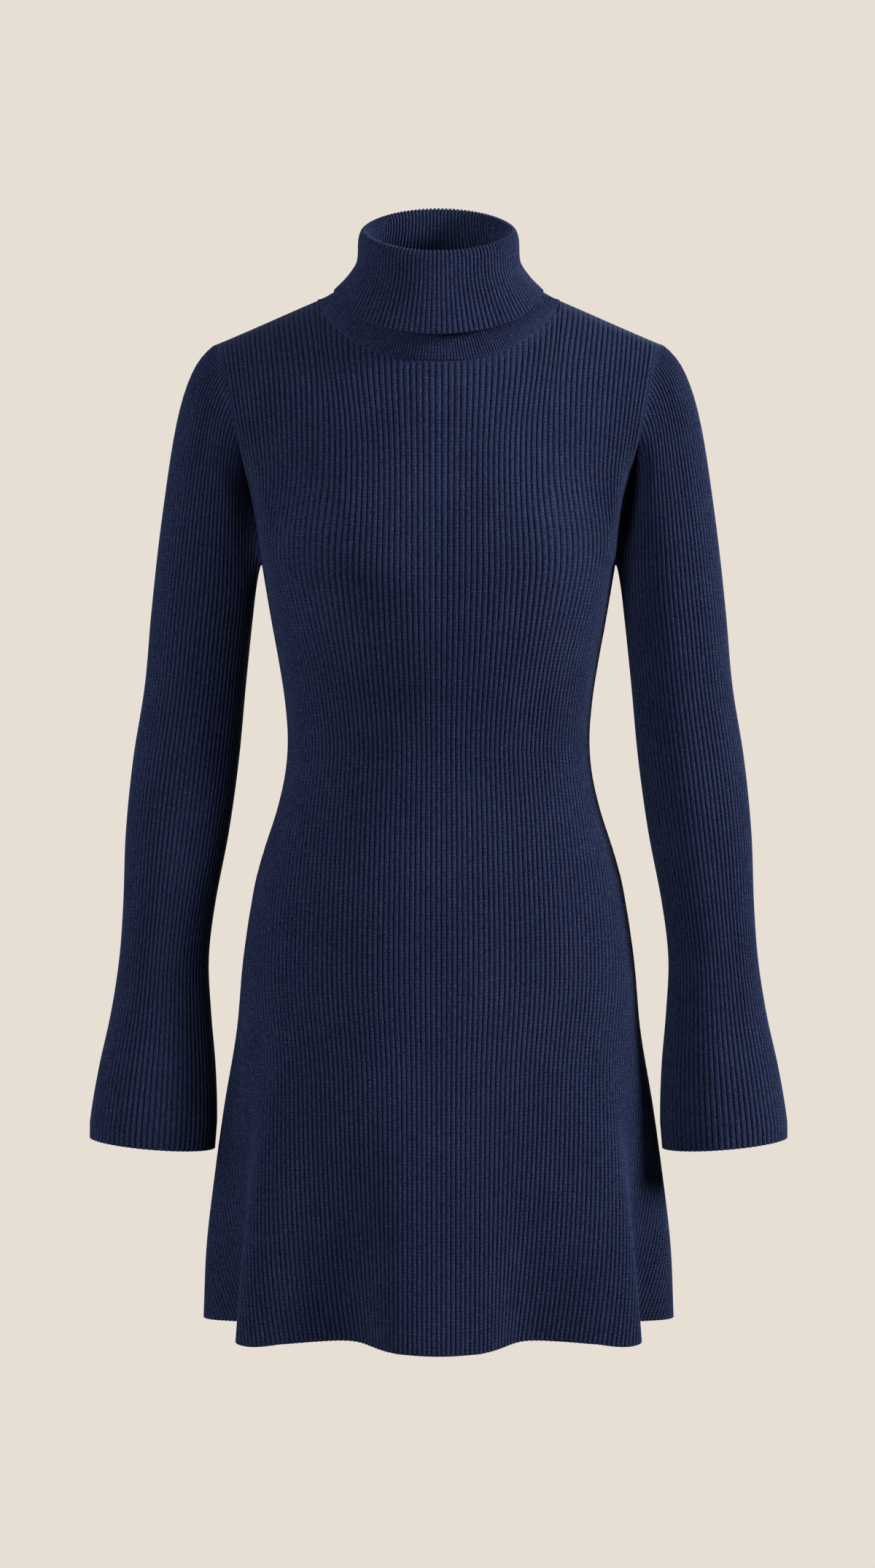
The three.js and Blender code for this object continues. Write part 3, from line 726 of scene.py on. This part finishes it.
def creased(points, armhole):
    """How points of the front move back into the crease along the lower half of the armhole seam."""
    front = armhole.turn <= 1
    rows = armhole.points[:-1][front[:-1]]
    seam = np.interp(points[..., 2], rows[::-1, 2], rows[::-1, 0])
    over = np.abs(points[..., 0]) - seam
    across = np.clip(1 - np.abs(over) / np.where(over > 0, CREASE["outward"], CREASE["inward"]), 0, 1) ** 2
    along = hill(points[..., 2] - CREASE["height"], CREASE["below"], CREASE["above"])
    ahead = np.clip(points[..., 1] / CREASE["whole_from"], 0, 1)
    return joined(0, CREASE["depth"] * ahead * across * along, 0)


def turn_of(face, rib, rise):
    """The turn along the armhole seam of a place on the edge of a panel."""
    over = (np.abs(rib) - RIBS_TO_ARMHOLE) / (RIBS_AT_WAIST - RIBS_TO_ARMHOLE)
    over = np.clip(over, 0, 1)
    return 1 + over - rise if face == "front" else 3 - over + rise


def mirrored(vectors, rib):
    """Vectors of the +X side, turned round for ribs of the -X side."""
    return vectors * joined(np.where(rib < 0, -1, 1), 1, 1)


def eased(height, fade):
    """The height of the rib pattern where it levels out on a seam."""
    return SEAM_RELIEF + (height - SEAM_RELIEF) * fade


def laid(points, normals, fade, height, side):
    """Points of the wall: on its ribbed side, or on the plain side within."""
    sunk = RIB_DEPTH * (1 - height) if side == "ribbed" else CLOTH
    return points - normals * (sunk + SEAM_PULL * (1 - fade))[..., None]


def lengths_down(points):
    """The length along each column of points, so far at each row."""
    steps = np.linalg.norm(np.diff(points, axis=0), axis=-1)
    return np.concatenate([np.zeros((1, points.shape[1])), np.cumsum(steps, axis=0)])


def hem_lift(face, points):
    """How far the hem lies higher in the hollow folds and lower on the ridges."""
    angle = np.degrees(np.arctan2(np.abs(points[:, 0]), np.abs(points[:, 1])))
    fold = fold_depth(face, angle, HEM)
    depths = [depth for _, _, depth, _ in FOLDS[face]]
    return HEM_LIFT * np.maximum(0, fold / min(depths)) - HEM_DROP * np.maximum(0, fold / max(depths))


def lower_row(face, places, height, side, armhole):
    """One row of a panel below the underarm."""
    end = ribs_at(face, height)
    place = np.clip(places, -end, end)
    share = bowed(face, place, height) / end
    points = body_point(face, share, height)
    normals = body_normal(face, share, height)
    fade = seam_fade((end - np.abs(place)) * RIB_PITCH)
    if height == UNDERARM:
        _, seam_normals, away = armhole.at(turn_of(face, place, 0))
        on_seam = (np.abs(place) >= RIBS_TO_ARMHOLE)[:, None]
        normals = np.where(on_seam, mirrored(seam_normals, place), normals)
        points = points - np.where(on_seam, mirrored(away, place), 0) * SEAM_GAP / 2
    points[:, 2] += np.clip(1 - (height - HEM) / HEM_LIFT_REACH, 0, 1) ** 2 * hem_lift(face, points)
    points = creased(points, armhole) + laid(points, normals, fade, eased(relief(place), fade), side)
    points[:, 1] += SIGN[face] * SEAM_GAP / 2
    return points


def yoke_row(face, places, rise, side, armhole):
    """One row of a panel from the underarm to the neckline and the shoulder seams."""
    level = np.full(len(places), float(rise))
    routed = bowed(face, places, UNDERARM + rise * YOKE_LENGTH)
    points = yoke_point(face, routed, level)
    normals = yoke_normal(face, routed, level)
    across = np.abs(places)
    _, seam_normals, away = armhole.at(turn_of(face, places, level))
    near = np.clip(1 - (RIBS_TO_ARMHOLE - across) / EDGE_RIBS, 0, 1)
    normals = unit(mixed(normals, mirrored(seam_normals, places), near))
    points = points - mirrored(away, places) * (np.where(near == 1, 0.5, 0) * SEAM_GAP)[:, None]
    near_top = np.clip(1 - (1 - rise) / EDGE_RISE, 0, 1)
    sine = np.clip(places / RIBS_TO_NECK, -1, 1)
    angle = np.arcsin(sine) if face == "front" else math.pi - np.arcsin(sine)
    _, neck_normals, neck_away = neckline_at(angle)
    inside = (across <= RIBS_TO_NECK)[:, None]
    at_shoulder = mirrored(np.tile(shoulder_normal(), (len(places), 1)), places)
    top_normals = np.where(inside, neck_normals, at_shoulder)
    normals = unit(mixed(normals, top_normals, np.full(len(places), near_top) * (near < 1)))
    if rise == 1:
        points = points - np.where(inside, neck_away, 0) * SEAM_GAP / 2
    to_edge = np.minimum((RIBS_TO_ARMHOLE - across) * RIB_PITCH, (1 - rise) * YOKE_LENGTH)
    fade = seam_fade(to_edge)
    points = creased(points, armhole) + laid(points, normals, fade, eased(relief(places), fade), side)
    points[:, 1] += SIGN[face] * SEAM_GAP / 2
    return points


def panel(face, material, armhole):
    """The front or the back of the dress in one piece, from the hem to the shoulder seams."""
    wall = Wall()
    heights = rows_between((HEM, UNDERARM), ROW_STEP)
    rises = rows_between((0, 1), ROW_STEP / YOKE_LENGTH)
    widest = max(ribs_at(face, height) for height in heights)
    numbers = {}
    across = {}
    for side in ("ribbed", "plain"):
        if side == "ribbed":
            columns = rib_columns(widest, [RIBS_TO_ARMHOLE])
        else:
            columns = plain_columns(widest + PLAIN_RIBS)
        lower = [lower_row(face, columns, height, side, armhole) for height in heights]
        inside = np.abs(columns) <= RIBS_TO_ARMHOLE
        yoke = [yoke_row(face, columns[inside], rise, side, armhole) for rise in rises[1:]]
        low_points = np.stack(lower)
        low_lengths = lengths_down(low_points)
        high_points = np.stack([lower[-1][inside], *yoke])
        high_lengths = lengths_down(high_points) + low_lengths[-1, inside]
        ends = np.array([ribs_at(face, height) for height in heights])[:, None]
        low_places = np.clip(columns[None, :], -ends, ends)
        high_places = np.broadcast_to(columns[inside], high_lengths.shape)
        lower_numbers = wall.add_grid(low_points, np.stack([low_places, low_lengths], axis=-1))
        upper_numbers = wall.add_grid(high_points, np.stack([high_places, high_lengths], axis=-1))
        numbers[side] = (lower_numbers, upper_numbers)
        across[side] = (columns, columns[inside])
    ribbed_low, ribbed_high = numbers["ribbed"]
    plain_low, plain_high = numbers["plain"]
    wall.join(ribbed_low[0], across["ribbed"][0], plain_low[0], across["plain"][0])
    wall.join(ribbed_high[-1], across["ribbed"][1], plain_high[-1], across["plain"][1])
    for ribbed, plain in ((ribbed_low, plain_low), (ribbed_high, plain_high)):
        for end in (0, -1):
            rows = np.arange(len(ribbed))
            wall.join(ribbed[:, end], rows, plain[:, end], rows)
    for sign in (-1, 1):
        beyond = [sign * columns >= RIBS_TO_ARMHOLE for columns, _ in (across["ribbed"], across["plain"])]
        wall.join(
            ribbed_low[-1][beyond[0]],
            across["ribbed"][0][beyond[0]],
            plain_low[-1][beyond[1]],
            across["plain"][0][beyond[1]],
        )
    return wall.piece(face + "_panel_knit", material)


def arm_point(rib, height):
    """Points of the arm of the sleeve. Rib 0 runs down its outer side, and the next ones lie before it."""
    size = arm_at(height)
    angle = np.asarray(rib) / RIBS_IN_SLEEVE * 2 * math.pi
    x = size["centre"] + size["half_width"] * np.cos(angle)
    y = size["set_back"] - size["half_depth"] * np.sin(angle)
    return joined(x, y, height)


def cap_spacing(share):
    """How far round the armhole a rib of the sleeve ends, by its share of the way round the sleeve."""
    return CAP_SHARE * share + (1 - CAP_SHARE) * share**3


def cap_turn(rib, armhole):
    """The turn of the armhole seam where ribs of the sleeve end."""
    half = RIBS_IN_SLEEVE / 2
    whole = armhole.lengths[-1]
    front = armhole.to_underarm * cap_spacing(np.minimum(rib, half) / half)
    left = (RIBS_IN_SLEEVE - np.maximum(rib, half)) / half
    back = whole - (whole - armhole.to_underarm) * cap_spacing(left)
    return armhole.turn_at(np.where(rib <= half, front, back))


def slanted(rib, down):
    """The ribs of the pattern, in ribs that leave the armhole seam squarely, where they slant up to it."""
    turn = np.mod(rib, RIBS_IN_SLEEVE) / RIBS_IN_SLEEVE
    near = np.clip(1 - down / CAP_SLANT_REACH, 0, 1) ** 2
    return rib - CAP_SLANT * np.sin(2 * math.pi * turn) * near


def cap_surface(armhole):
    """The cap of the sleeve, as a function of the rib and of the way down from the armhole seam."""

    def surface(rib, rise):
        rib = np.mod(rib, RIBS_IN_SLEEVE)
        start, _, away = armhole.at(cap_turn(rib, armhole))
        end = arm_point(rib, CAP_FOOT)
        below = arm_point(rib, ARM_TOP)
        reach = np.linalg.norm(end - start, axis=-1, keepdims=True)
        low = start + away * CAP_START * reach
        high = end + unit(end - below) * CAP_END * reach
        return bezier(start, low, high, end, np.broadcast_to(rise, rib.shape))

    return surface


def cuff_surface(rib, down):
    """Points of the last stretch of the sleeve, down to its slanting edge."""
    angle = np.asarray(rib) / RIBS_IN_SLEEVE * 2 * math.pi
    edge = arm_point(rib, CUFF)
    edge[..., 2] += CUFF_SLANT * np.cos(angle) + CUFF_LIFT * np.sin(angle)
    return mixed(arm_point(rib, CUFF_START), edge, np.broadcast_to(down, angle.shape))


def sleeve(name, sign, material, armhole):
    """A long set-in sleeve, from the armhole seam to the cuff."""
    wall = Wall()
    cap = cap_surface(armhole)
    whole = (-RIBS_IN_SLEEVE, 2 * RIBS_IN_SLEEVE)
    arm_rows = rows_between((-CAP_FOOT, -CUFF_START), ROW_STEP)
    stretches = [
        (cap, rows_between((0, 1), ROW_STEP / CAP_LENGTH), (0, 1)),
        (lambda rib, depth: arm_point(rib, -depth), arm_rows, (-CAP_FOOT, -CUFF)),
        (cuff_surface, np.linspace(0, 1, CUFF_ROWS + 1), (0, 1)),
    ]
    numbers = {}
    across = {}
    for side in ("ribbed", "plain"):
        if side == "ribbed":
            between = (np.arange(RIBS_IN_SLEEVE * COLUMNS) + 0.5) / COLUMNS
            columns = np.concatenate([[0], between, [RIBS_IN_SLEEVE]])
        else:
            columns = np.linspace(0, RIBS_IN_SLEEVE, round(RIBS_IN_SLEEVE / PLAIN_RIBS) + 1)
        rows = []
        for index, (surface, alongs, ends) in enumerate(stretches):
            for along in alongs[min(index, 1) :]:
                routed = slanted(columns, along) if index == 0 else columns
                points = surface(routed, along)
                normals = normal_of(surface, routed, along, whole, ends)
                fade = np.ones(len(columns))
                if index == 0:
                    _, seam_normals, away = armhole.at(cap_turn(np.mod(routed, RIBS_IN_SLEEVE), armhole))
                    near = max(0, 1 - along / EDGE_RISE)
                    normals = unit(mixed(normals, seam_normals, np.full(len(columns), near)))
                    points = points + away * (SEAM_GAP / 2 * near)
                    fade = seam_fade(np.full(len(columns), along * CAP_LENGTH))
                height = eased(relief(columns), fade)
                rows.append(creased(points, armhole) + laid(points, normals, fade, height, side))
        points = np.stack(rows)
        knit = np.stack([np.broadcast_to(columns, points.shape[:2]), lengths_down(points)], axis=-1)
        points[..., 0] *= sign
        numbers[side] = wall.add_grid(points, knit)
        across[side] = columns
    for end in (0, -1):
        wall.join(numbers["ribbed"][end], across["ribbed"], numbers["plain"][end], across["plain"])
    return wall.piece(name, material)


def collar_surface(rib, step):
    """Points of the middle of the collar's cloth."""
    return loop_point(collar_at(step), np.asarray(rib) / RIBS_IN_COLLAR * 2 * math.pi)


def collar(material):
    """The turtleneck: one knitted tube, sewn to the neckline and folded over outward."""
    wall = Wall()
    columns = np.arange(RIBS_IN_COLLAR * COLLAR_COLUMNS + 1) / COLLAR_COLUMNS
    angle = columns / RIBS_IN_COLLAR * 2 * math.pi
    steps = np.linspace(0, COLLAR_END, COLLAR_ROWS + 1)
    whole = (-RIBS_IN_COLLAR, 2 * RIBS_IN_COLLAR)
    seam_points, seam_normals, away = neckline_at(angle)
    seam_middle = seam_points - seam_normals * CLOTH / 2 + away * SEAM_GAP / 2
    sides = {"ribbed": [], "plain": []}
    for step in steps:
        middle = collar_surface(columns, step)
        normals = -normal_of(collar_surface, columns, step, whole, (0, COLLAR_END))
        near = np.full(len(columns), max(0, 1 - step))
        middle = mixed(middle, seam_middle, near)
        normals = unit(mixed(normals, -seam_normals, near))
        fade = seam_fade(np.full(len(columns), step * COLLAR_STEP_LENGTH))
        ribbed = eased(relief(columns), fade)
        fine = eased(relief(columns * 2), fade)
        sides["ribbed"].append(middle + normals * (CLOTH / 2 - RIB_DEPTH * (1 - ribbed))[:, None])
        sides["plain"].append(middle - normals * (CLOTH / 2 - FINE_DEPTH * (1 - fine))[:, None])
    numbers = {}
    for side in sides:
        points = np.stack(sides[side])
        places = columns if side == "ribbed" else columns * 2
        knit = np.stack([np.broadcast_to(places, points.shape[:2]), lengths_down(points)], axis=-1)
        numbers[side] = wall.add_grid(points, knit)
    for end in (0, -1):
        wall.join(numbers["ribbed"][end], columns, numbers["plain"][end], columns)
    return wall.piece("turtleneck_collar_knit", material)


class Nodes:
    """Builds a material's nodes with short calls."""

    def __init__(self, material):
        material.use_nodes = True
        self.tree = material.node_tree
        self.shader = self.tree.nodes["Principled BSDF"]

    def node(self, kind, inputs, output=0, **settings):
        """A new node with its inputs fed. Gives back one of its outputs."""
        made = self.tree.nodes.new(kind)
        for name, value in settings.items():
            setattr(made, name, value)
        for key, value in inputs.items():
            self.feed(made.inputs[key], value)
        return made.outputs[output]

    def feed(self, socket, value):
        """Links an output to an input, or sets the input to a value."""
        if isinstance(value, bpy.types.NodeSocket):
            self.tree.links.new(value, socket)
        else:
            socket.default_value = value

    def finish(self, values):
        """Sets the shader's own inputs."""
        for name, value in values.items():
            self.shader.inputs[name].default_value = value

    def math(self, operation, *values):
        return self.node("ShaderNodeMath", dict(enumerate(values)), operation=operation)

    def weighed(self, first, first_share, second, second_share):
        first_part = self.math("MULTIPLY", first, first_share)
        second_part = self.math("MULTIPLY", second, second_share)
        return self.math("ADD", first_part, second_part)

    def noise(self, place, scale, detail):
        return self.node("ShaderNodeTexNoise", {"Vector": place, "Scale": scale, "Detail": detail})

    def ranged(self, value, start, end, low, high):
        """The value's way from start to end, turned into a way from low to high and kept within it."""
        inputs = {"Value": value, "From Min": start, "From Max": end, "To Min": low, "To Max": high}
        return self.node("ShaderNodeMapRange", inputs)

    def color_mix(self, share, first, second):
        made = self.tree.nodes.new("ShaderNodeMix")
        made.data_type = "RGBA"
        self.feed(made.inputs[0], share)
        self.feed(made.inputs[6], first)
        self.feed(made.inputs[7], second)
        return made.outputs[2]


def knit_cloth(name):
    """Soft heathered navy yarn, knitted in ribs, with small slanting stitches, a faint nap, and painted shade
    in the grooves between the ribs and the stitches.
    """
    material = bpy.data.materials.new(name)
    nodes = Nodes(material)
    knit = nodes.node("ShaderNodeUVMap", {}, "UV", uv_map="knit")
    parted = nodes.tree.nodes.new("ShaderNodeSeparateXYZ")
    nodes.feed(parted.inputs[0], knit)
    rib, down = parted.outputs[0], parted.outputs[1]
    place = nodes.node("ShaderNodeTexCoord", {}, "Object")

    # Stitches: each rib is a column of small Vs, a little uneven as knitting is
    waver = nodes.math("SUBTRACT", nodes.noise(place, UNEVEN_SCALE, 2.0), 0.5)
    wavering = nodes.math("ADD", rib, nodes.math("MULTIPLY", waver, UNEVEN_RIBS))
    off = nodes.math("ABSOLUTE", nodes.math("SUBTRACT", wavering, nodes.math("ROUND", wavering)))
    slanted = nodes.math("ADD", nodes.math("DIVIDE", down, STITCH), nodes.math("MULTIPLY", off, STITCH_SLANT))
    wave = nodes.math("COSINE", nodes.math("MULTIPLY", slanted, 2 * math.pi))
    stitch = nodes.math("MULTIPLY", nodes.math("ADD", wave, 1.0), 0.5)

    # Heather: yarn of slightly different navies, in short flecks and in wide soft clouds
    fleck = nodes.noise(place, FLECK_SCALE, 3.0)
    cloud = nodes.noise(place, CLOUD_SCALE, 2.0)
    mottled = nodes.weighed(fleck, FLECK_SHARE, cloud, CLOUD_SHARE)
    yarn_share = nodes.ranged(mottled, YARN_FROM, YARN_TO, 0.0, 1.0)
    yarn = nodes.color_mix(yarn_share, DARK_YARN, LIGHT_YARN)

    # Painted shade: the grooves between the ribs are darkened in the colour, and a little of it between the
    # stitches
    groove = nodes.ranged(off, GROOVE_FROM, GROOVE_TO, 1.0, 0.0)
    lightness = nodes.math("MULTIPLY", groove, nodes.ranged(stitch, 0.0, 1.0, STITCH_SHADE, 1.0))
    nodes.feed(nodes.shader.inputs["Base Color"], nodes.color_mix(lightness, GROOVE_PAINTED_SHADE, yarn))

    # Nap: the stitches and the fuzz stand up a little
    surface = nodes.weighed(stitch, STITCH_BUMP, nodes.noise(place, FUZZ_SCALE, 2.0), FUZZ_BUMP)
    bump_inputs = {"Height": surface, "Strength": BUMP_STRENGTH, "Distance": STITCH_DEPTH * MM}
    nodes.feed(nodes.shader.inputs["Normal"], nodes.node("ShaderNodeBump", bump_inputs))
    nodes.finish(YARN_FINISH)
    return material


def aim(made, target):
    """Turns a light or a camera to a place."""
    direction = np.array(target) - np.array(made.location)
    made.rotation_euler = Vector(direction).to_track_quat("-Z", "Y").to_euler()


def area_light(name, place, size, power):
    """A round soft light that looks at the dress."""
    data = bpy.data.lights.new(name, "AREA")
    data.shape = "DISK"
    data.size = size
    data.energy = power
    data.color = LIGHT_COLOR
    made = bpy.data.objects.new(name, data)
    made.location = place
    aim(made, LIGHT_TARGET)
    bpy.context.scene.collection.objects.link(made)


def camera():
    """A camera at the photograph's viewing angle."""
    data = bpy.data.cameras.new("camera")
    data.sensor_width = SENSOR / MM
    made = bpy.data.objects.new("camera", data)
    bpy.context.scene.collection.objects.link(made)
    made.location = (AIM[0], -CAMERA_AWAY, CAMERA_HEIGHT)
    distance = math.dist(made.location, AIM)
    data.lens = data.sensor_width * distance / FRAME_HEIGHT
    aim(made, AIM)
    bpy.context.scene.camera = made


def studio():
    """A pale paper ground, lit evenly, of the same tone as the air around it."""
    world = bpy.data.worlds.new("paper_light")
    bpy.context.scene.world = world
    world.use_nodes = True
    background = world.node_tree.nodes["Background"]
    background.inputs["Color"].default_value = PAPER
    background.inputs["Strength"].default_value = 1.0
    bpy.ops.mesh.primitive_circle_add(
        vertices=FLOOR_CORNERS, radius=FLOOR_RADIUS, fill_type="NGON", location=(0, 0, FLOOR)
    )
    floor = bpy.context.object
    floor.name = "paper_floor"
    paper = bpy.data.materials.new("paper")
    Nodes(paper).finish(PAPER_FINISH)
    floor.data.materials.append(paper)
    bpy.context.scene.view_settings.view_transform = "Standard"
    for name, light in LIGHTS.items():
        area_light(name, light["place"], light["size"], light["power"])


def dress():
    """The five pieces of the dress, each in place of its solid."""
    armhole = Seam()
    cloth = knit_cloth("navy_rib_knit")
    made = {
        "front_panel": panel("front", cloth, armhole),
        "back_panel": panel("back", cloth, armhole),
        "left_sleeve": sleeve("left_sleeve_knit", 1, cloth, armhole),
        "right_sleeve": sleeve("right_sleeve_knit", -1, cloth, armhole),
        "turtleneck_collar": collar(cloth),
    }
    for node, piece in made.items():
        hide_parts(node)


camera()
studio()
dress()
